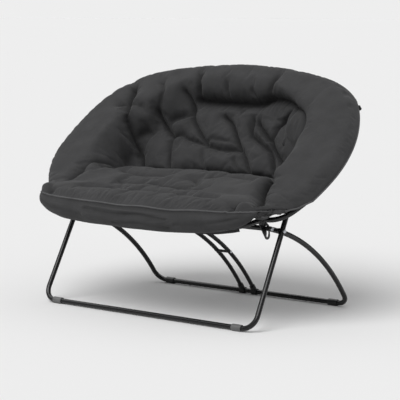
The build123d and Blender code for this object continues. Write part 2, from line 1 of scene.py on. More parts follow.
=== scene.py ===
"""Looks of a folding double saucer chair: padded dish, front roll, piping, tube finishes, stage."""
import json
import math
from collections import namedtuple

import bmesh
import bpy
import numpy as np
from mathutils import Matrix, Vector, noise
from mathutils.bvhtree import BVHTree


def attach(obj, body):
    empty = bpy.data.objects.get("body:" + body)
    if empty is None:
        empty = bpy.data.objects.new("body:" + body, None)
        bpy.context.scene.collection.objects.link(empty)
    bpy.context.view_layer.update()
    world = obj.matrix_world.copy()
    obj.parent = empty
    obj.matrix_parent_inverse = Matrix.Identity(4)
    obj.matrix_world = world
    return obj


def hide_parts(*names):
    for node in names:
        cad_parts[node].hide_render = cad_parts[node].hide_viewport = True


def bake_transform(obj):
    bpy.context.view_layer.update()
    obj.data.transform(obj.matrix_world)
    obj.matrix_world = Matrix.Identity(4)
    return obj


bl_info = {
    "name": "Folding Saucer Chair",
    "version": (1, 0, 0),
    "blender": (4, 5, 0),
    "location": "View3D > Sidebar > Saucer Chair",
    "description": "Dresses the packed folding saucer chair with its cushion, seams and finishes",
    "category": "Object",
}

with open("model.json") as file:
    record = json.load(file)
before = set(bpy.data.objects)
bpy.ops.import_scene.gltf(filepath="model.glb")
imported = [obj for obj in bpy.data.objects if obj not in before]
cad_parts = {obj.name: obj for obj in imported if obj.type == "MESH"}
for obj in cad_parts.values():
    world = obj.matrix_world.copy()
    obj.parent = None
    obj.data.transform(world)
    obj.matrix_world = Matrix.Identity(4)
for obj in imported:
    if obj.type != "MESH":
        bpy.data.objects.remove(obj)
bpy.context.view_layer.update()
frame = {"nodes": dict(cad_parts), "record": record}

# ---- the back arch's leaning plane, as the solids have it ----
ARCH_FOOT = Vector((0, -0.209165, 0.360))
LEAN = math.radians(44.4)
ALONG = Vector((0, math.cos(LEAN), math.sin(LEAN)))
NORMAL = Vector((0, -math.sin(LEAN), math.cos(LEAN)))
ARCH_START = (0.5001, 0.050)
ARCH_BENDS = ((0.110, 54.0), (0.400, 36.0), (0.500, 25.0), (0.330, 50.0))
FRONT_Y = -0.273165

# Middle line of the seat's top, from the front rail: how far back and how high.
SEAT_LINE = (
    (-0.050, 0.4385), (0.000, 0.4445), (0.061, 0.456), (0.130, 0.474), (0.200, 0.489), (0.270, 0.499),
)
# The fold between seat and back, up the arch's slope and off its plane.
CREASE = (0.345, -0.138)
# How far off the plane the back ends at the top, and how its line curls on the way there.
BACK_TOP = -0.012
BACK_CURL = 0.90
# How far off the plane the rim's seam lies, and how much higher it starts at the front.
RIM_LEVEL = -0.016
RIM_RISE = 0.018
# The roll's highest line stands at this share of its width.
ROLL_CREST_TOP = 0.48
ROLL_CREST_SIDE = 0.62
# Within this distance of the seam the roll rounds up over the arch tube to this share of its height.
ROLL_EDGE = 0.055
EDGE_SHARE = 0.80
# How far the soft valley and the sharp fold of a crease reach to either side.
VALLEY_REACH = 0.020
FOLD_REACH = 0.008
# The wadding between creases stands up by this share of its fullness.
CELL_SHARE = 0.40
# Lumps in the wadding: how close together and how high.
LUMPS_PER_METRE = 14
LUMP_HEIGHT = 0.003
# The rim's roll is stuffed tighter than the back, so its cover wrinkles less.
ROLL_SWELL = 0.25
# The cover is cut this much wider than the wadding, which gives its wrinkles.
COVER_SLACK = 0.045
# Painted sheen: the piping's cloth is the cover's colour made this many times lighter, for the sheen of its
# slanted weave.
PIPING_PAINTED_SHEEN = 2.2
# Share of the colour that a deep crease loses: painted shade in the crease.
PAINTED_CREASE_SHADE = 0.82
# The front seam's right tip, and how far the seam bows forward, sags and waves between its tips.
SEAM_TIP = (0.5265, FRONT_Y + 0.008, 0.4365)
SEAM_BOW = 0.100
SEAM_SAG = 0.010
SEAM_WAVE = 0.006
# The rim's seam between the front tip and the arch's bend, and the rim's point that it runs into.
SIDE_LEAD = ((0.556, -0.213, 0.433), (0.596, -0.160, 0.436))
LEAD_JOIN = 12
# The camera stands where the photograph was taken from.
CAMERA_PLACE = Vector((3.958, -4.510 + FRONT_Y, 1.130))
CAMERA_LOOK = Vector((-0.6283, 0.7659, -0.1366))
CAMERA_LENS = 146.7
CAMERA_SENSOR = 36
CAMERA_SHIFT = (0.0073, 0.0906)
PHOTO_SIDE = 400


def place(x, s, n=0.0):
    """A place from the arch's own directions: across, up its slope and off its plane."""
    return Vector((x, 0, 0)) + ARCH_FOOT + ALONG * s + NORMAL * n


def slope_of(p):
    """How far up the arch's slope and how far off its plane a place stands."""
    off = Vector((0, p[1], p[2])) - ARCH_FOOT
    return off.dot(ALONG), off.dot(NORMAL)


def rim_line(out, steps=40):
    """The right-hand half of the arch tube's line, moved outwards, from its second bend to the top middle."""
    x, s = ARCH_START
    heading, points = 0.0, []
    bends = list(ARCH_BENDS)
    total = sum(turn for _, turn in bends)
    for index in range(len(bends) + 1):
        if index < len(bends):
            radius, turn = bends[index]
        else:
            turn = 180 - total
            radius = x / math.sin(math.radians(turn))
        cx, cs = x - radius * math.sin(math.radians(heading)), s + radius * math.cos(math.radians(heading))
        for k in range(steps + 1):
            h = math.radians(heading + turn * k / steps)
            if index:
                points.append((cx + (radius + out) * math.sin(h), cs - (radius + out) * math.cos(h)))
        heading += turn
        h = math.radians(heading)
        x, s = cx + radius * math.sin(h), cs - radius * math.cos(h)
    return points


def resampled(points, count):
    """The same line with its points evenly spaced."""
    points = np.array(points, float)
    steps = np.r_[0, np.cumsum(np.linalg.norm(np.diff(points, axis=0), axis=1))]
    at = np.linspace(0, steps[-1], count)
    return np.stack([np.interp(at, steps, points[:, k]) for k in range(points.shape[1])], axis=1)


def bowed(points, count):
    """A smooth line through a few places, as a Catmull-Rom curve."""
    points = np.array(points, float)
    padded = np.vstack([2 * points[0] - points[1], points, 2 * points[-1] - points[-2]])
    out = []
    for k in range(1, len(padded) - 2):
        p0, p1, p2, p3 = padded[k - 1 : k + 3]
        for t in np.linspace(0, 1, 24, endpoint=False):
            bend = 2 * p0 - 5 * p1 + 4 * p2 - p3
            twist = 3 * p1 - p0 - 3 * p2 + p3
            out.append(0.5 * (2 * p1 + (p2 - p0) * t + bend * t**2 + twist * t**3))
    out.append(padded[-2])
    return resampled(out, count)


def smooth(low, high, value):
    """A soft step from 0 to 1."""
    t = np.clip((value - low) / (high - low), 0, 1)
    return t * t * (3 - 2 * t)


# ---- settings that a user would change ----
class SaucerChairSizes(bpy.types.PropertyGroup):
    """Sizes of the cushion and its seams."""

    columns: bpy.props.IntProperty(
        name="Columns",
        description="Cushion mesh columns from side to side",
        default=200,
        min=40,
    )
    rows: bpy.props.IntProperty(
        name="Rows",
        description="Cushion mesh rows from front to top",
        default=150,
        min=40,
    )
    rim_out: bpy.props.FloatProperty(
        name="Rim Overhang",
        description="From the arch tube's middle to the cushion's outer seam",
        default=0.026,
        unit="LENGTH",
    )
    rim_thick: bpy.props.FloatProperty(
        name="Rim Side Band",
        description="Height of the band between the two rim seams",
        default=0.028,
        unit="LENGTH",
    )
    pad_thick: bpy.props.FloatProperty(
        name="Pad Thickness",
        description="Thickness of the seat and back wadding",
        default=0.044,
        unit="LENGTH",
    )
    roll_width_side: bpy.props.FloatProperty(
        name="Rim Roll Width, Sides",
        description="From the rim's seam to the foot of the padded roll",
        default=0.33,
        unit="LENGTH",
    )
    roll_width_top: bpy.props.FloatProperty(
        name="Rim Roll Width, Top",
        description="From the rim's seam to the foot of the padded roll",
        default=0.185,
        unit="LENGTH",
    )
    roll_top: bpy.props.FloatProperty(
        name="Rim Roll Fullness, Top",
        description="How far the roll stands up over the back",
        default=0.042,
        unit="LENGTH",
    )
    roll_side: bpy.props.FloatProperty(
        name="Rim Roll Fullness, Sides",
        description="How far the roll stands up beside the seat",
        default=0.042,
        unit="LENGTH",
    )
    front_fullness: bpy.props.FloatProperty(
        name="Seat Edge Fullness",
        description="How far the seat's wadding stands up behind the front seam",
        default=0.010,
        unit="LENGTH",
    )
    puff: bpy.props.FloatProperty(
        name="Tuft Fullness",
        description="How far the wadding stands up between the sewn creases",
        default=0.024,
        unit="LENGTH",
    )
    fold: bpy.props.FloatProperty(
        name="Crease Fold",
        description="How far the cloth is drawn in along a crease",
        default=0.015,
        unit="LENGTH",
    )
    swell: bpy.props.FloatProperty(
        name="Swelling Limit",
        description="How far the cloth simulation may move the cover",
        default=0.016,
        unit="LENGTH",
    )
    piping: bpy.props.FloatProperty(
        name="Piping Radius",
        description="Radius of the cord sewn into the seams",
        default=0.0034,
        unit="LENGTH",
    )
    fascia_drop: bpy.props.FloatProperty(
        name="Front Roll Drop",
        description="Height of the padded roll under the front seam",
        default=0.086,
        unit="LENGTH",
    )


class SaucerChairFinish(bpy.types.PropertyGroup):
    """Colours of the materials."""

    fabric: bpy.props.FloatVectorProperty(
        name="Fabric",
        description="Brushed polyester cover",
        subtype="COLOR",
        size=3,
        default=(0.036, 0.036, 0.037),
        min=0,
        max=1,
    )
    tube: bpy.props.FloatVectorProperty(
        name="Tube Coating",
        description="Powder coat on the tubes",
        subtype="COLOR",
        size=3,
        default=(0.005, 0.005, 0.0055),
        min=0,
        max=1,
    )


def linear(code):
    """An sRGB hex colour as the linear values that Blender works in."""
    parts = [int(code[i : i + 2], 16) / 255 for i in (1, 3, 5)]
    return tuple(p / 12.92 if p <= 0.04045 else ((p + 0.055) / 1.055) ** 2.4 for p in parts) + (1.0,)


def add_node(tree, kind, settings=None, **links):
    """One node with its settings and the sockets or values that go into it."""
    node = tree.nodes.new(kind)
    for key, value in (settings or {}).items():
        setattr(node, key, value)
    for key, value in links.items():
        if key[0] == "i" and key[1:].isdigit():
            socket = node.inputs[int(key[1:])]
        else:
            socket = node.inputs[key.replace("_", " ")]
        if isinstance(value, bpy.types.NodeSocket):
            tree.links.new(value, socket)
        else:
            socket.default_value = value
    return node


def new_material(name):
    """An empty node material with its output and shader."""
    material = bpy.data.materials.new(name)
    material.use_nodes = True
    tree = material.node_tree
    tree.nodes.clear()
    output = tree.nodes.new("ShaderNodeOutputMaterial")
    shader = tree.nodes.new("ShaderNodeBsdfPrincipled")
    tree.links.new(shader.outputs[0], output.inputs[0])
    return material, tree, shader


def brushed_polyester(name, colour, depth=1.0):
    """Brushed polyester microfibre: a matt charcoal cloth with a short nap and a soft sheen, with painted
    shade in its creases.
    """
    material, tree, shader = new_material(name)
    coords = tree.nodes.new("ShaderNodeTexCoord")
    spot = coords.outputs["Object"]
    # The nap lies in patches about 60 mm across, where it is stroked lighter or darker.
    patches = add_node(tree, "ShaderNodeTexNoise", Vector=spot, Scale=16.0, Detail=4.0, Roughness=0.55)
    # Weave threads are about 0.5 mm apart, drawn at 1.6 mm so that they show.
    threads = add_node(tree, "ShaderNodeTexNoise", Vector=spot, Scale=620.0, Detail=2.0, Roughness=0.7)
    base = Vector(colour)
    ramp = add_node(tree, "ShaderNodeValToRGB", Fac=patches.outputs["Fac"])
    ramp.color_ramp.elements[0].position, ramp.color_ramp.elements[1].position = 0.30, 0.72
    ramp.color_ramp.elements[0].color = (*(base * 0.84), 1)
    ramp.color_ramp.elements[1].color = (*(base * 1.14), 1)
    fleck = add_node(tree, "ShaderNodeMapRange", Value=threads.outputs["Fac"], To_Min=0.82, To_Max=1.18)
    tone = add_node(
        tree,
        "ShaderNodeVectorMath",
        {"operation": "SCALE"},
        i0=ramp.outputs["Color"],
        i3=fleck.outputs["Result"],
    )
    # Painted shade: the cloth's colour is darkened along the creases, by the value that the mesh carries for
    # it.
    crease = add_node(tree, "ShaderNodeAttribute", {"attribute_name": "painted_crease_shade"})
    left = add_node(tree, "ShaderNodeMath", {"operation": "SUBTRACT"}, i0=1.0, i1=crease.outputs["Fac"])
    tone = add_node(
        tree,
        "ShaderNodeVectorMath",
        {"operation": "SCALE"},
        i0=tone.outputs[0],
        i3=left.outputs[0],
    )
    tree.links.new(tone.outputs[0], shader.inputs["Base Color"])
    shader.inputs["Roughness"].default_value = 0.92
    shader.inputs["Specular IOR Level"].default_value = 0.25
    shader.inputs["Sheen Weight"].default_value = 0.05
    shader.inputs["Sheen Roughness"].default_value = 0.5
    wrinkle = add_node(
        tree,
        "ShaderNodeTexNoise",
        Vector=spot,
        Scale=55.0,
        Detail=5.0,
        Roughness=0.6,
        Distortion=0.6,
    )
    relief = add_node(
        tree,
        "ShaderNodeBump",
        Height=wrinkle.outputs["Fac"],
        Strength=0.35 * depth,
        Distance=0.004,
    )
    weave = add_node(
        tree,
        "ShaderNodeBump",
        Height=threads.outputs["Fac"],
        Strength=0.35,
        Distance=0.0006,
        Normal=relief.outputs["Normal"],
    )
    tree.links.new(weave.outputs["Normal"], shader.inputs["Normal"])
    return material


def powder_coat(name, colour):
    """Black polyester powder coat on steel tube: satin, with a fine orange peel."""
    material, tree, shader = new_material(name)
    coords = tree.nodes.new("ShaderNodeTexCoord")
    spot = coords.outputs["Object"]
    peel = add_node(tree, "ShaderNodeTexNoise", Vector=spot, Scale=420.0, Detail=2.0, Roughness=0.5)
    wear = add_node(tree, "ShaderNodeTexNoise", Vector=spot, Scale=22.0, Detail=6.0, Roughness=0.62)
    rough = add_node(tree, "ShaderNodeMapRange", Value=wear.outputs["Fac"], To_Min=0.20, To_Max=0.34)
    tree.links.new(rough.outputs["Result"], shader.inputs["Roughness"])
    shader.inputs["Specular IOR Level"].default_value = 0.4
    ramp = add_node(tree, "ShaderNodeValToRGB", Fac=wear.outputs["Fac"])
    base = Vector(colour)
    ramp.color_ramp.elements[0].position, ramp.color_ramp.elements[1].position = 0.35, 0.75
    ramp.color_ramp.elements[0].color = (*base, 1)
    ramp.color_ramp.elements[1].color = (*(base * 1.5), 1)
    tree.links.new(ramp.outputs["Color"], shader.inputs["Base Color"])
    bump = add_node(tree, "ShaderNodeBump", Height=peel.outputs["Fac"], Strength=0.12, Distance=0.0004)
    tree.links.new(bump.outputs["Normal"], shader.inputs["Normal"])
    return material


def zinc_plate(name):
    """Zinc-plated steel: bright blue-white metal with faint machining haze."""
    material, tree, shader = new_material(name)
    coords = tree.nodes.new("ShaderNodeTexCoord")
    haze = add_node(
        tree,
        "ShaderNodeTexNoise",
        Vector=coords.outputs["Object"],
        Scale=300.0,
        Detail=4.0,
        Roughness=0.6,
    )
    rough = add_node(tree, "ShaderNodeMapRange", Value=haze.outputs["Fac"], To_Min=0.22, To_Max=0.40)
    ramp = add_node(tree, "ShaderNodeValToRGB", Fac=haze.outputs["Fac"])
    ramp.color_ramp.elements[0].color = linear("#9EA1A6")
    ramp.color_ramp.elements[1].color = linear("#C9CBCF")
    tree.links.new(ramp.outputs["Color"], shader.inputs["Base Color"])
    tree.links.new(rough.outputs["Result"], shader.inputs["Roughness"])
    shader.inputs["Metallic"].default_value = 1.0
    return material


def moulded_plastic(name, dark, light, roughness):
    """Injection-moulded plastic: an even colour with a fine spark-eroded grain."""
    material, tree, shader = new_material(name)
    coords = tree.nodes.new("ShaderNodeTexCoord")
    grain = add_node(
        tree,
        "ShaderNodeTexNoise",
        Vector=coords.outputs["Object"],
        Scale=900.0,
        Detail=2.0,
        Roughness=0.5,
    )
    cloud = add_node(
        tree,
        "ShaderNodeTexNoise",
        Vector=coords.outputs["Object"],
        Scale=40.0,
        Detail=3.0,
        Roughness=0.5,
    )
    ramp = add_node(tree, "ShaderNodeValToRGB", Fac=cloud.outputs["Fac"])
    ramp.color_ramp.elements[0].position, ramp.color_ramp.elements[1].position = 0.3, 0.7
    ramp.color_ramp.elements[0].color = linear(dark)
    ramp.color_ramp.elements[1].color = linear(light)
    tree.links.new(ramp.outputs["Color"], shader.inputs["Base Color"])
    rough = add_node(
        tree,
        "ShaderNodeMapRange",
        Value=grain.outputs["Fac"],
        To_Min=roughness - 0.06,
        To_Max=roughness + 0.06,
    )
    tree.links.new(rough.outputs["Result"], shader.inputs["Roughness"])
    bump = add_node(tree, "ShaderNodeBump", Height=grain.outputs["Fac"], Strength=0.2, Distance=0.0002)
    tree.links.new(bump.outputs["Normal"], shader.inputs["Normal"])
    return material


# ---- the dish's surface ----
Seen = namedtuple("Seen", "across down")

# Creases of the dish: how deep each is sewn, then its places. A place is Seen where it was traced in pixels
# of the photograph, and otherwise it is across and up the arch's slope.
FRONT_PINCH = ((0.375, 0.310), Seen(268, 177), Seen(264, 186), Seen(261, 195), Seen(258, 205))
BACK_CREASES = {
    "under the top roll": (
        1.3,
        (
            Seen(198, 99), Seen(224, 101), Seen(258, 102.5), Seen(268, 98.5), Seen(276, 98),
            (0.300, 0.600), Seen(291, 106),
        ),
    ),
    "top roll, left end": (0.8, ((-0.180, 0.715), Seen(198, 85), Seen(198, 99))),
    "top roll, left gather": (0.5, (Seen(226, 84), Seen(228, 100))),
    "top roll, right gather": (0.5, (Seen(251, 89), Seen(259, 102))),
    "top roll, right end": (0.6, (Seen(275, 78), Seen(269, 88), Seen(267, 98))),
    "left bay, upper side": (1.0, (Seen(158, 110), Seen(161, 118), Seen(166, 127), Seen(172, 135))),
    "left bay, to the rim": (0.5, (Seen(162, 82), Seen(162, 90), Seen(158, 110))),
    "left bay, to the middle": (0.8, (Seen(172, 135), Seen(180, 132.5), Seen(187, 137), Seen(205, 143))),
    "left bay, arch": (0.5, (Seen(172, 135), Seen(171, 120), Seen(194, 112))),
    "left of the middle": (
        0.9,
        (Seen(184, 90), Seen(192, 103), Seen(193, 119), Seen(201, 135), Seen(206, 142)),
    ),
    "left bay, down to the seat": (0.7, (Seen(172, 136), Seen(169.5, 145), Seen(168, 168))),
    "middle, level": (0.8, (Seen(206, 144), Seen(222, 147.5), Seen(239, 148))),
    "middle, level, upper": (0.4, (Seen(206, 139), Seen(214, 137.5), Seen(234, 141))),
    "middle, down to the seat": (0.3, (Seen(202, 147), Seen(202, 155), Seen(203, 166))),
    "middle, slanting": (1.0, (Seen(224, 115), Seen(230, 121), Seen(233.5, 130), Seen(239, 148))),
    "below the top roll": (0.5, (Seen(228, 101.5), Seen(236, 105), Seen(243, 109))),
    "right bay, inner side": (0.9, (Seen(252, 118), Seen(250, 131), Seen(254, 137), Seen(268, 149))),
    "right bay, long": (
        1.0,
        (Seen(257, 121), Seen(266, 135), Seen(270, 139), Seen(273, 148), Seen(281, 162)),
    ),
    "right bay, outer side": (0.8, (Seen(287, 108), Seen(279, 124), Seen(270, 139))),
    "right of the middle, down": (0.8, (Seen(239, 148), Seen(243, 154), Seen(248, 172))),
    "right of the middle, short": (0.4, (Seen(232, 159), Seen(238, 174))),
    "right bay, down to the seat": (0.9, (Seen(268, 149), Seen(271, 158), (0.290, 0.365))),
}
ROLL_CREASES = {
    "left roll's foot": (
        1.0,
        (Seen(133, 88), Seen(131, 96), Seen(127, 104), Seen(131, 130), Seen(140, 152), Seen(140, 167)),
    ),
    "right roll's foot": (
        1.0,
        (Seen(291, 106), (0.400, 0.545), (0.430, 0.480), (0.400, 0.410), (0.360, 0.340)),
    ),
    "left roll, low gather": (0.5, (Seen(129, 152), Seen(125, 160), Seen(122, 168))),
    "left roll, high gather": (0.5, (Seen(118, 104), Seen(128, 103), Seen(140, 104))),
    "left roll, to the bay": (0.6, (Seen(133, 138), Seen(140, 132), Seen(147, 129))),
    "left roll, short": (0.4, (Seen(122, 132), Seen(136, 146))),
    "left roll, at the seat": (0.5, (Seen(98, 161), Seen(105, 166), Seen(120, 168))),
    "right front corner": (1.4, FRONT_PINCH),
}
SEAT_CREASES = {
    "between seat and back": (
        1.1,
        (
            (-0.384, 0.300), Seen(150, 168), (-0.160, 0.335), Seen(200, 170.5),
            (0.120, 0.350), (0.250, 0.350), (0.370, 0.330),
        ),
    ),
    "seat, right of the middle": (0.5, (Seen(194, 180), Seen(196, 184))),
    "seat, rear left": (0.3, ((-0.300, 0.215), (-0.180, 0.205), (-0.060, 0.220))),
    "seat, across": (0.3, ((-0.220, 0.120), (-0.080, 0.130), (0.060, 0.115), (0.200, 0.125))),
    "seat, rear right": (0.3, ((0.120, 0.235), (0.230, 0.250), (0.330, 0.235))),
    "seat, front": (0.25, ((-0.330, 0.040), (-0.120, 0.050), (0.150, 0.045), (0.330, 0.040))),
}
# The left front corner isn't seen, so it mirrors the right one without its last place.
LEFT_PINCH_DEPTH = 0.6


def front_seam(count):
    """The seam along the cushion's front edge, from the left tip to the right one."""
    half, y, z = SEAM_TIP
    points = []
    for t in np.linspace(-1, 1, 161):
        t = math.copysign(abs(math.sin(t * math.pi / 2)), t)
        reach = math.sqrt(1 - t * t)
        wave = SEAM_WAVE * noise.noise(Vector((half * t * 7, 0.5, 0))) * reach
        points.append((half * t, y - SEAM_BOW * reach, z - SEAM_SAG * reach + wave))
    return resampled(points, count)


def side_seam(out):
    """The rim's upper seam from the right tip to the middle of the top."""
    rim = []
    for x, s in rim_line(out):
        rise = RIM_RISE * (1 - float(smooth(0.15, 0.50, s)))
        rim.append(tuple(place(x, s, RIM_LEVEL + rise)))
    lead = bowed([SEAM_TIP, *SIDE_LEAD, rim[LEAD_JOIN]], 40)
    return np.vstack([lead[:-1], rim[LEAD_JOIN:]])


def in_slope(points):
    """Places as across and up the arch's slope."""
    points = np.asarray(points)
    return np.stack([points[..., 0], (points - np.array(ARCH_FOOT)) @ np.array(ALONG)], axis=-1)


def off_slope(points):
    """How far places stand off the arch's plane."""
    return (np.asarray(points) - np.array(ARCH_FOOT)) @ np.array(NORMAL)


def middle_profile(seam_middle, top_middle):
    """The dish's middle line: back along the seat, down into the crease and up the back."""
    seat = [slope_of(seam_middle)] + [slope_of((0, FRONT_Y + y, z)) for y, z in SEAT_LINE] + [CREASE]
    seat = bowed(seat, 160)
    top_s, _ = slope_of(top_middle)
    shares = np.linspace(0, 1, 80)
    back_s = CREASE[0] + shares * (top_s - CREASE[0])
    back_n = CREASE[1] + (BACK_TOP - CREASE[1]) * shares**BACK_CURL
    back = np.stack([back_s, back_n], axis=1)
    return np.vstack([seat, back[1:]])


def dish_surface(sizes):
    """The dish's top as a grid of places, and for each one how far the rim's seam and the front seam are."""
    columns, rows = sizes.columns, sizes.rows
    right = resampled(side_seam(sizes.rim_out), 2400)
    tangent = np.gradient(right, axis=0)
    heading = np.degrees(np.arctan2(tangent @ np.array(ALONG), tangent[:, 0]))
    corner = int(np.argmax(heading > 133))
    side = resampled(right[: corner + 1], rows + 1)
    top_right = resampled(right[corner:], columns // 2 + 1)[::-1]
    top = np.vstack([(top_right * (-1, 1, 1))[::-1][:-1], top_right])
    front = front_seam(columns + 1)
    left = side * (-1, 1, 1)
    u = np.linspace(0, 1, columns + 1)[None, :, None]
    b = np.linspace(0, 1, rows + 1)[:, None, None]
    across = (1 - u) * left[:, None, :] + u * side[:, None, :]
    along = (1 - b) * front[None, :, :] + b * top[None, :, :]
    corners = (1 - u) * (1 - b) * left[0] + u * (1 - b) * side[0] + (1 - u) * b * left[-1] + u * b * side[-1]
    base = across + along - corners
    spots = in_slope(base)
    rim = right[::8]
    rim = np.vstack([rim * (-1, 1, 1), rim[::-1]])
    from_rim = distance_to_line(spots, in_slope(rim))
    from_front = distance_to_line(spots, in_slope(front[::3]))
    line = middle_profile(front[columns // 2], top[columns // 2])
    floor = np.interp(spots[..., 1], line[:, 0], line[:, 1])
    rim_s, rim_n = in_slope(right)[:, 1], off_slope(right)
    level = np.interp(spots[..., 1], rim_s[: corner + 1 : 20], rim_n[: corner + 1 : 20])
    # The rim's roll is broad and full at the sides, narrower over the back, and pinched at the front seam.
    beside = smooth(0.15, 0.50, np.abs(spots[..., 0]))
    width = sizes.roll_width_top + (sizes.roll_width_side - sizes.roll_width_top) * beside
    width = width * (0.35 + 0.65 * smooth(0, 0.16, from_front))
    crest = width * (ROLL_CREST_TOP + (ROLL_CREST_SIDE - ROLL_CREST_TOP) * beside)
    wall = smooth(crest, width, from_rim)
    full = (sizes.roll_top + (sizes.roll_side - sizes.roll_top) * beside) * smooth(-0.03, 0.12, from_front)
    edge = np.sqrt(1 - (1 - np.clip(from_rim / ROLL_EDGE, 0, 1)) ** 2)
    rise = EDGE_SHARE * edge + (1 - EDGE_SHARE) * smooth(0, crest, from_rim)
    height = (level + full * rise) * (1 - wall) + floor * wall
    height = height + sizes.front_fullness * np.sin(np.pi * np.clip(from_front / 0.12, 0, 1))
    height = height + (off_slope(front) - height[0])[None, :] * (1 - smooth(0, 0.08, from_front))
    grid = base + (height - off_slope(base))[..., None] * np.array(NORMAL)
    grid[0], grid[-1], grid[:, 0], grid[:, -1] = front, top, left, side
    return grid, spots, from_rim, from_front, wall, right


def grid_normals(grid):
    """Unit normals of a grid of places."""
    du, dv = np.gradient(grid, axis=1), np.gradient(grid, axis=0)
    normals = np.cross(du, dv)
    length = np.linalg.norm(normals, axis=2, keepdims=True)
    return normals / np.maximum(length, 1e-9)


def distance_to_line(points, line):
    """Distance from each point to a line of straight runs, in the same number of dimensions."""
    best = np.full(points.shape[:-1], 1e9)
    for start, end in zip(line[:-1], line[1:]):
        run = end - start
        share = np.clip(((points - start) @ run) / max(run @ run, 1e-12), 0, 1)
        best = np.minimum(best, np.linalg.norm(points - (start + share[..., None] * run), axis=-1))
    return best


def line_of_sight(seen):
    """The camera's direction through a pixel of the photograph."""
    across = CAMERA_SENSOR * (seen.across / PHOTO_SIDE - 0.5 + CAMERA_SHIFT[0])
    up = CAMERA_SENSOR * (0.5 - seen.down / PHOTO_SIDE + CAMERA_SHIFT[1])
    return CAMERA_LOOK.to_track_quat("-Z", "Y") @ Vector((across, up, -CAMERA_LENS)).normalized()


def crease_lines(surface):
    """Depth and places of every crease, with the traced ones found where the camera sees them on the dish."""
    places = [tuple(p) for p in surface.reshape(-1, 3)]
    tree = BVHTree.FromPolygons(places, grid_faces(*surface.shape[:2]))
    lines = []
    for creases in (BACK_CREASES, ROLL_CREASES, SEAT_CREASES):
        for depth, crease in creases.values():
            line = []
            for spot in crease:
                if isinstance(spot, Seen):
                    found = tree.ray_cast(CAMERA_PLACE, line_of_sight(spot))[0]
                    if found is None:
                        continue
                    spot = in_slope(found)
                line.append(tuple(spot))
            lines.append((depth, line))
            if crease is FRONT_PINCH:
                lines.append((LEFT_PINCH_DEPTH, [(-x, s) for x, s in line[:-1]]))
    return lines


def crease_fields(spots, lines):
    """For each place: the soft valley beside a crease, its sharp fold, and how firmly it is sewn."""
    valley, fold, sewn = (np.zeros(spots.shape[:2]) for _ in range(3))
    for depth, line in lines:
        off = distance_to_line(spots, bowed(line, 24))
        valley = np.maximum(valley, depth * np.exp(-((off / VALLEY_REACH) ** 1.3)))
        fold = np.maximum(fold, depth * np.exp(-((off / FOLD_REACH) ** 1.5)))
        sewn = np.maximum(sewn, min(depth, 1.0) * np.exp(-((off / FOLD_REACH) ** 2)))
    return valley, fold, sewn


def grid_faces(rows, columns, first=0, flip=False):
    """Four-sided faces of a grid of places."""
    faces = []
    for r in range(rows - 1):
        for c in range(columns - 1):
            k = first + r * columns + c
            face = (k, k + 1, k + columns + 1, k + columns)
            faces.append(face[::-1] if flip else face)
    return faces


def swollen(points, faces, pinned, cap, slack):
    """The cover after a short cloth simulation, held at its seams and creases and blown up between them."""
    sheet = mesh_object("swelling_cover", points, faces)
    pins = sheet.vertex_groups.new(name="sewn")
    for index, weight in enumerate(pinned):
        if weight > 0.02:
            pins.add([index], float(min(weight, 1.0)), "REPLACE")
    cloth = sheet.modifiers.new("Cloth", "CLOTH")
    cover = cloth.settings
    cover.quality = 6
    cover.mass = 0.15
    cover.tension_stiffness = cover.compression_stiffness = 12
    cover.shear_stiffness = 4
    cover.bending_stiffness = 0.15
    cover.vertex_group_mass = "sewn"
    cover.shrink_min = -slack
    cover.use_pressure = True
    cover.uniform_pressure_force = 4
    cover.effector_weights.gravity = 0
    scene = bpy.context.scene
    for step in range(1, 21):
        scene.frame_set(step)
    posed = sheet.evaluated_get(bpy.context.evaluated_depsgraph_get())
    shift = np.array([v.co[:] for v in posed.data.vertices]) - points
    scene.frame_set(1)
    bpy.data.objects.remove(sheet)
    length = np.linalg.norm(shift, axis=1)
    return points + shift * np.minimum(1, cap / np.maximum(length, 1e-9))[:, None]


def settled(line, piece, lift):
    """The line moved onto the nearest place of a piece's surface, and lifted off it a little."""
    tree = BVHTree.FromObject(piece, bpy.context.evaluated_depsgraph_get())
    out = []
    for p in line:
        spot, normal, _, _ = tree.find_nearest(Vector(p))
        out.append(spot + normal * lift)
    return np.array(out)


def mesh_object(name, points, faces):
    """A mesh object at the origin from places and faces."""
    mesh = bpy.data.meshes.new(name)
    mesh.from_pydata([tuple(p) for p in points], [], faces)
    mesh.validate()
    piece = bpy.data.objects.new(name, mesh)
    bpy.context.scene.collection.objects.link(piece)
    mesh.polygons.foreach_set("use_smooth", [True] * len(mesh.polygons))
    return piece


def finish_piece(piece, level):
    """One applied subdivision and outward normals."""
    bm = bmesh.new()
    bm.from_mesh(piece.data)
    bmesh.ops.remove_doubles(bm, verts=bm.verts, dist=1e-5)
    bmesh.ops.recalc_face_normals(bm, faces=bm.faces)
    bm.to_mesh(piece.data)
    bm.free()
    if level:
        for other in bpy.context.selected_objects:
            other.select_set(False)
        bpy.context.view_layer.objects.active = piece
        piece.select_set(True)
        modifier = piece.modifiers.new("Smooth", "SUBSURF")
        modifier.levels = modifier.render_levels = level
        bpy.ops.object.modifier_apply(modifier=modifier.name)
        piece.select_set(False)
    piece.data.polygons.foreach_set("use_smooth", [True] * len(piece.data.polygons))


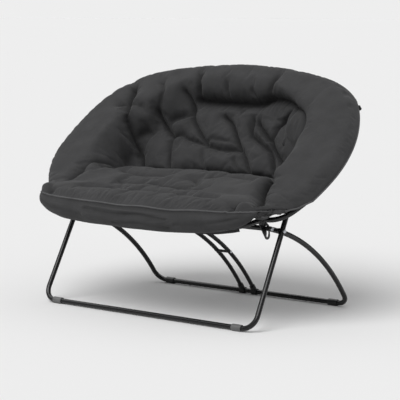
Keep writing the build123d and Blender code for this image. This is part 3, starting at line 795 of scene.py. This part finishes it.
def tube_along(name, line, radius, sides=8, closed=False):
    """A round cord along a line of places."""
    line = np.array(line, float)
    tangent = np.gradient(line, axis=0)
    tangent /= np.maximum(np.linalg.norm(tangent, axis=1, keepdims=True), 1e-9)
    up = np.array((0.0, 0.2, 1.0))
    points, faces = [], []
    for p, t in zip(line, tangent):
        side = np.cross(t, up)
        side /= np.linalg.norm(side)
        over = np.cross(side, t)
        for k in range(sides):
            angle = 2 * math.pi * k / sides
            points.append(p + radius * (math.cos(angle) * side + math.sin(angle) * over))
    count = len(line)
    for i in range(count - 1):
        for k in range(sides):
            k2 = (k + 1) % sides
            faces.append((i * sides + k, i * sides + k2, (i + 1) * sides + k2, (i + 1) * sides + k))
    faces.append(tuple(range(sides - 1, -1, -1)))
    faces.append(tuple((count - 1) * sides + k for k in range(sides)))
    return mesh_object(name, points, faces)


def cloth_parts(context):
    """The two groups of settings."""
    return context.scene.saucer_chair_sizes, context.scene.saucer_chair_finish


def ride_across(piece):
    """The piece's placement, baked into its mesh."""
    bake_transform(piece)


class DishCushion(bpy.types.Operator):
    """Build the padded dish: rim, back and seat in one cover."""

    bl_idname = "saucer_chair.dish_cushion"
    bl_label = "Dish Cushion"

    def execute(self, context):
        sizes, finish = cloth_parts(context)
        top, spots, from_rim, from_front, wall, right = dish_surface(sizes)
        normals = grid_normals(top)
        if normals[sizes.rows // 2, sizes.columns // 2] @ np.array(NORMAL) < 0:
            normals = -normals
        edge = smooth(0, 0.04, np.minimum(from_rim, from_front))
        plain = top + normals * (sizes.puff * CELL_SHARE * edge)[..., None]
        valley, fold, sewn = crease_fields(spots, crease_lines(plain))
        lumps = np.array([[noise.noise(Vector(p) * LUMPS_PER_METRE) for p in row] for row in top])
        puff = sizes.puff * (CELL_SHARE - valley) - sizes.fold * fold + LUMP_HEIGHT * lumps
        top = top + normals * (puff * edge)[..., None]
        held = np.maximum(sewn, 1 - smooth(0, 0.018, np.minimum(from_rim, from_front)))
        cap = sizes.swell * (ROLL_SWELL + (1 - ROLL_SWELL) * wall)
        cap = cap * (0.3 + 0.7 * smooth(0, 0.12, from_front))
        sheet = grid_faces(*spots.shape[:2])
        moved = swollen(top.reshape(-1, 3), sheet, held.ravel(), cap.ravel(), COVER_SLACK)
        top = moved.reshape(top.shape)
        normals = grid_normals(top)
        if normals[sizes.rows // 2, sizes.columns // 2] @ np.array(NORMAL) < 0:
            normals = -normals
        thick = sizes.rim_thick + (sizes.pad_thick - sizes.rim_thick) * smooth(0, 0.05, from_rim)
        thick = thick * (0.65 + 0.35 * smooth(0, 0.12, from_front))
        under = top - normals * thick[..., None]
        rows, columns = top.shape[:2]
        points = np.vstack([top.reshape(-1, 3), under.reshape(-1, 3)])
        total = rows * columns
        faces = grid_faces(rows, columns) + grid_faces(rows, columns, first=total, flip=True)
        loop = list(range(columns))
        loop += [r * columns + columns - 1 for r in range(1, rows)]
        loop += [(rows - 1) * columns + c for c in range(columns - 2, -1, -1)]
        loop += [r * columns for r in range(rows - 2, 0, -1)]
        for k, here in enumerate(loop):
            there = loop[(k + 1) % len(loop)]
            faces.append((here, total + here, total + there, there))
        piece = mesh_object("dish_cushion", points, faces)
        # Painted shade: the cover's top is darkened along its creases' valleys and folds, and its underside
        # gets none.
        shade = np.clip(0.25 * valley + 0.75 * fold, 0, 1).ravel() * PAINTED_CREASE_SHADE
        shades = piece.data.attributes.new("painted_crease_shade", "FLOAT", "POINT")
        shades.data.foreach_set("value", np.r_[shade, shade * 0])
        finish_piece(piece, 1)
        piece.data.materials.append(brushed_polyester("brushed_polyester_cover", finish.fabric))
        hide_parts("rim_band", "seat_front_pad", "seat_rear_pad", "back_pad")
        rim = np.vstack([right * (-1, 1, 1), right[::-1]])
        for name, line in (
            ("rim_seam_piping", rim),
            ("rim_lower_piping", rim - sizes.rim_thick * np.array(NORMAL)),
            ("front_seam_piping", front_seam(240)),
        ):
            cord = tube_along(name, settled(resampled(line, 420), piece, 0.4 * sizes.piping), sizes.piping)
            finish_piece(cord, 0)
            # Painted sheen: the cord's cloth is the cover's colour made lighter.
            cloth = brushed_polyester(name + "_cloth", Vector(finish.fabric) * PIPING_PAINTED_SHEEN, 0.3)
            cord.data.materials.append(cloth)
            ride_across(cord)
        ride_across(piece)
        return {"FINISHED"}


# The tab on the rim's seam: how far up the arch's slope it is, and its loop's line, up and outwards.
TAB_SLOPE = 0.615
TAB_LOOP = (
    (-0.006, -0.014), (-0.006, 0.002), (-0.003, 0.009), (0.003, 0.009), (0.006, 0.002), (0.006, -0.014),
)
TAB_HALF_WIDTH = 0.006
# The flap that closes the roll behind the seat ring's front rail.
FLAP_LINE = ((0.300, -0.320, 0.352), (0.370, -0.311, 0.355), (0.430, -0.296, 0.363), (0.460, -0.284, 0.369))
FLAP_HALF_WIDTH = 0.009
WEBBING_HALF = 0.001


def ribbon(name, line, half_width, half_thick, material, body):
    """A strip of webbing on edge along a line, riding on one body."""
    tangent = np.gradient(np.array(line), axis=0)
    tangent /= np.linalg.norm(tangent, axis=1, keepdims=True)
    points = []
    for p, t in zip(line, tangent):
        across = np.cross(t, (0.0, 0.0, 1.0)) if abs(t[2]) < 0.5 else np.array(NORMAL)
        across /= np.linalg.norm(across)
        over = np.cross(across, t)
        if abs(t[2]) >= 0.5:
            across, over = over, across
        for a, b in ((-1, -1), (1, -1), (1, 1), (-1, 1)):
            points.append(p + a * half_thick * across + b * half_width * over)
    count = len(line)
    faces = []
    for i in range(count - 1):
        for k in range(4):
            k2 = (k + 1) % 4
            faces.append((4 * i + k, 4 * i + k2, 4 * i + 4 + k2, 4 * i + 4 + k))
    faces += [(3, 2, 1, 0), tuple(4 * count - 4 + k for k in range(4))]
    piece = mesh_object(name, points, faces)
    finish_piece(piece, 0)
    piece.data.materials.append(material)
    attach(piece, body)


# The front roll's cross-section: how far out from the front seam and which share of its drop.
ROLL_SECTION = (
    (0, 0), (0.007, -0.10), (0.013, -0.35), (0.010, -0.70), (-0.002, -0.93), (-0.020, -1.0), (-0.038, -0.92),
    (-0.046, -0.65), (-0.044, -0.35), (-0.030, -0.12),
)
# The roll stands out by this much more near its ends, where it covers the seat ring's corners.
RING_COVER = 0.018
# Height of the long slack folds along the roll's face.
FASCIA_FOLD = 0.012
# Share of the colour lost to painted shadow just below the front seam, under the piping.
PAINTED_SEAM_SHADOW = 0.8
# The roll's face ends and its hidden back starts this far behind the seam.
ROLL_BACK = -0.030
# Creases on the roll's face: places across and below the front seam, then their depth and their reach.
FASCIA_CREASES = (
    ((-0.470, -0.022), (-0.400, -0.036), (-0.320, -0.046), (-0.230, -0.050)),
    ((-0.210, -0.026), (-0.080, -0.034), (0.060, -0.030), (0.190, -0.036)),
    ((-0.060, -0.062), (0.080, -0.058), (0.200, -0.064)),
    ((0.230, -0.052), (0.340, -0.046), (0.440, -0.030), (0.490, -0.014)),
)
FASCIA_DEPTH = 0.007
FASCIA_REACH = 0.008


class FrontRoll(bpy.types.Operator):
    """Build the padded roll that hangs from the front seam round the seat ring."""

    bl_idname = "saucer_chair.front_roll"
    bl_label = "Front Roll"

    def execute(self, context):
        sizes, finish = cloth_parts(context)
        line = front_seam(181)
        tangent = np.gradient(line, axis=0)
        out = np.stack([tangent[:, 1], -tangent[:, 0], 0 * tangent[:, 0]], axis=1)
        out /= np.linalg.norm(out, axis=1, keepdims=True)
        if out[len(line) // 2][1] > 0:
            out = -out
        share = np.abs(np.linspace(-1, 1, len(line)))
        profile = bowed(ROLL_SECTION, 56)
        points, faces, held, shades = [], [], [], []
        for p, o, t in zip(line, out, share):
            wave = 1 + 0.05 * noise.noise(Vector((p[0] * 7, 0.3, 0)))
            drop = sizes.fascia_drop * wave * (0.05 + 0.95 * (1 - t**5) ** 0.7)
            deep = 0.10 + 0.90 * (1 - t**5)
            cover = RING_COVER * float(smooth(0.40, 0.80, t)) * (1 - t**9)
            spots = np.stack([np.full(len(profile), p[0]), profile[:, 1] * drop], axis=1)
            near = np.min([distance_to_line(spots, np.array(fold)) for fold in FASCIA_CREASES], axis=0)
            for (d, h), off in zip(profile, near):
                drawn = math.exp(-((off / FASCIA_REACH) ** 2)) * (d > ROLL_BACK)
                painted_seam_shadow = PAINTED_SEAM_SHADOW * math.exp(-((h / 0.10) ** 2)) * (d > ROLL_BACK)
                # Painted shade along the face's creases and painted shadow just below the seam, for darkening
                # the roll's cloth.
                shades.append(PAINTED_CREASE_SHADE * (0.25 * drawn + painted_seam_shadow))
                long_fold = noise.noise(Vector((p[0] * 4, 2.0, h * drop * 48)))
                long_fold *= FASCIA_FOLD * math.sin(math.pi * min(1, -h)) * (1 - t**4)
                fold = long_fold - FASCIA_DEPTH * drawn
                forward = cover * math.sin(math.pi * min(1, -h)) ** 0.7 * (d > ROLL_BACK)
                points.append(p + o * (d + fold) * deep + np.array((0, -forward, h * drop)))
                # The seam, the back and the ends are held, and the front is free to swell.
                free = float(smooth(0.03, 0.25, -h)) * (d > ROLL_BACK) * float(1 - smooth(0.93, 0.99, t))
                held.append(1 - free)
        count = len(profile)
        for i in range(len(line) - 1):
            for k in range(count):
                k2 = (k + 1) % count
                faces.append((i * count + k, i * count + k2, (i + 1) * count + k2, (i + 1) * count + k))
        faces.append(tuple(range(count - 1, -1, -1)))
        faces.append(tuple((len(line) - 1) * count + k for k in range(count)))
        points = swollen(np.array(points), faces, held, np.full(len(points), 0.5 * sizes.swell), 0)
        piece = mesh_object("front_roll_cover", points, faces)
        piece.data.attributes.new("painted_crease_shade", "FLOAT", "POINT").data.foreach_set("value", shades)
        finish_piece(piece, 1)
        piece.data.materials.append(brushed_polyester("brushed_polyester_roll", finish.fabric))
        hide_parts("front_roll")
        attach(piece, "seat_ring")
        return {"FINISHED"}


class CoverTrim(bpy.types.Operator):
    """Add a webbing tab on each side of the rim and a flap under each end of the roll."""

    bl_idname = "saucer_chair.cover_trim"
    bl_label = "Cover Trim"

    def execute(self, context):
        cloth = brushed_polyester("trim_webbing", Vector(context.scene.saucer_chair_finish.fabric) * 0.7, 0.4)
        rim = side_seam(context.scene.saucer_chair_sizes.rim_out)
        middle = rim[np.argmin(np.abs(in_slope(rim)[:, 1] - TAB_SLOPE))]
        loop = [middle + np.array(ALONG) * a + np.array((1.0, 0, 0)) * b for a, b in TAB_LOOP]
        for side, name in ((-1, "left"), (1, "right")):
            mirror = np.array((side, 1, 1))
            tab = np.array(loop) * mirror
            ribbon("rim_tab_" + name, tab, TAB_HALF_WIDTH, WEBBING_HALF, cloth, "front_frame")
            flap = bowed(FLAP_LINE, 40) * mirror
            ribbon("roll_flap_" + name, flap, FLAP_HALF_WIDTH, WEBBING_HALF, cloth, "seat_ring")
        return {"FINISHED"}


class FrameFinishes(bpy.types.Operator):
    """Give the tubes, fittings and collars their coats."""

    bl_idname = "saucer_chair.frame_finishes"
    bl_label = "Frame Finishes"

    def execute(self, context):
        finish = context.scene.saucer_chair_finish
        coats = {
            "frame_paint": powder_coat("black_powder_coat", finish.tube),
            "bolt_steel": zinc_plate("zinc_plated_steel"),
            "black_nylon": moulded_plastic("moulded_black_nylon", "#141414", "#1E1E1F", 0.45),
            "grey_plastic": moulded_plastic("moulded_grey_polypropylene", "#565656", "#616161", 0.55),
            "charcoal_fabric": brushed_polyester("brushed_polyester_solid", finish.fabric),
        }
        slots = {part["node"]: part["material_slot"] for part in frame["record"]["subparts"]}
        for node, piece in frame["nodes"].items():
            coat = coats[slots[node]]
            if piece.data.materials:
                for k in range(len(piece.data.materials)):
                    piece.material_slots[k].material = coat
            else:
                piece.data.materials.append(coat)
        return {"FINISHED"}


class Stage(bpy.types.Operator):
    """Set up the pale floor, the soft light and the camera."""

    bl_idname = "saucer_chair.stage"
    bl_label = "Stage"

    def execute(self, context):
        scene = context.scene
        scene.view_settings.view_transform = "Standard"
        bpy.ops.object.select_all(action="DESELECT")
        bpy.ops.mesh.primitive_plane_add(size=400, location=(0, 0, 0))
        floor = context.object
        floor.name = "floor"
        material = bpy.data.materials.new("pale_floor")
        material.use_nodes = True
        tree = material.node_tree
        tree.nodes.clear()
        output = tree.nodes.new("ShaderNodeOutputMaterial")
        diffuse = add_node(tree, "ShaderNodeBsdfDiffuse", Color=linear("#EEEEEE"))
        tree.links.new(diffuse.outputs[0], output.inputs[0])
        floor.data.materials.append(material)

        world = bpy.data.worlds.new("studio")
        scene.world = world
        world.use_nodes = True
        tree = world.node_tree
        tree.nodes.clear()
        output = tree.nodes.new("ShaderNodeOutputWorld")
        light = add_node(tree, "ShaderNodeBackground", Color=(1, 1, 1, 1), Strength=0.50)
        seen = add_node(tree, "ShaderNodeBackground", Color=linear("#EEEEEE"), Strength=1.0)
        path = tree.nodes.new("ShaderNodeLightPath")
        # Shiny parts mirror a bright ceiling and dim walls, which gives the tubes narrow highlights.
        direction = tree.nodes.new("ShaderNodeTexCoord")
        height = add_node(tree, "ShaderNodeSeparateXYZ", Vector=direction.outputs["Generated"])
        ceiling = add_node(
            tree,
            "ShaderNodeMapRange",
            Value=height.outputs["Z"],
            From_Min=0.35,
            From_Max=0.85,
            To_Min=0.12,
            To_Max=2.2,
        )
        mirrored = add_node(
            tree,
            "ShaderNodeBackground",
            Color=(1, 1, 1, 1),
            Strength=ceiling.outputs["Result"],
        )
        shiny = add_node(
            tree,
            "ShaderNodeMixShader",
            i0=path.outputs["Is Glossy Ray"],
            i1=light.outputs[0],
            i2=mirrored.outputs[0],
        )
        mix = add_node(
            tree,
            "ShaderNodeMixShader",
            i0=path.outputs["Is Camera Ray"],
            i1=shiny.outputs[0],
            i2=seen.outputs[0],
        )
        tree.links.new(mix.outputs[0], output.inputs[0])

        lamp = bpy.data.lights.new("soft_key", "SUN")
        lamp.energy, lamp.angle = 2.02, math.radians(42)
        holder = bpy.data.objects.new("soft_key", lamp)
        holder.rotation_euler = Vector((-0.10, 0.80, -1.0)).to_track_quat("-Z", "Y").to_euler()
        scene.collection.objects.link(holder)

        camera = bpy.data.cameras.new("camera")
        camera.sensor_width, camera.lens = CAMERA_SENSOR, CAMERA_LENS
        camera.shift_x, camera.shift_y = CAMERA_SHIFT
        camera.clip_end = 500
        holder = bpy.data.objects.new("camera", camera)
        holder.location = CAMERA_PLACE
        holder.rotation_euler = CAMERA_LOOK.to_track_quat("-Z", "Y").to_euler()
        scene.collection.objects.link(holder)
        scene.camera = holder
        return {"FINISHED"}


class SaucerChairPanel(bpy.types.Panel):
    """Sidebar panel that lists the settings and the pieces."""

    bl_idname = "VIEW3D_PT_saucer_chair"
    bl_label = "Saucer Chair"
    bl_space_type = "VIEW_3D"
    bl_region_type = "UI"
    bl_category = "Saucer Chair"

    def draw(self, context):
        for group in (context.scene.saucer_chair_sizes, context.scene.saucer_chair_finish):
            for key in group.bl_rna.properties.keys():
                if key not in ("rna_type", "name"):
                    self.layout.prop(group, key)
        for operator in OPERATORS:
            self.layout.operator(operator.bl_idname)


OPERATORS = (FrameFinishes, DishCushion, FrontRoll, CoverTrim, Stage)
CLASSES = (SaucerChairSizes, SaucerChairFinish, *OPERATORS, SaucerChairPanel)


def register():
    for cls in CLASSES:
        bpy.utils.register_class(cls)
    bpy.types.Scene.saucer_chair_sizes = bpy.props.PointerProperty(type=SaucerChairSizes)
    bpy.types.Scene.saucer_chair_finish = bpy.props.PointerProperty(type=SaucerChairFinish)


def unregister():
    del bpy.types.Scene.saucer_chair_finish
    del bpy.types.Scene.saucer_chair_sizes
    for cls in reversed(CLASSES):
        bpy.utils.unregister_class(cls)


def main():
    register()
    bpy.ops.saucer_chair.frame_finishes()
    bpy.ops.saucer_chair.dish_cushion()
    bpy.ops.saucer_chair.front_roll()
    bpy.ops.saucer_chair.cover_trim()
    bpy.ops.saucer_chair.stage()


if __name__ == "__main__":
    main()
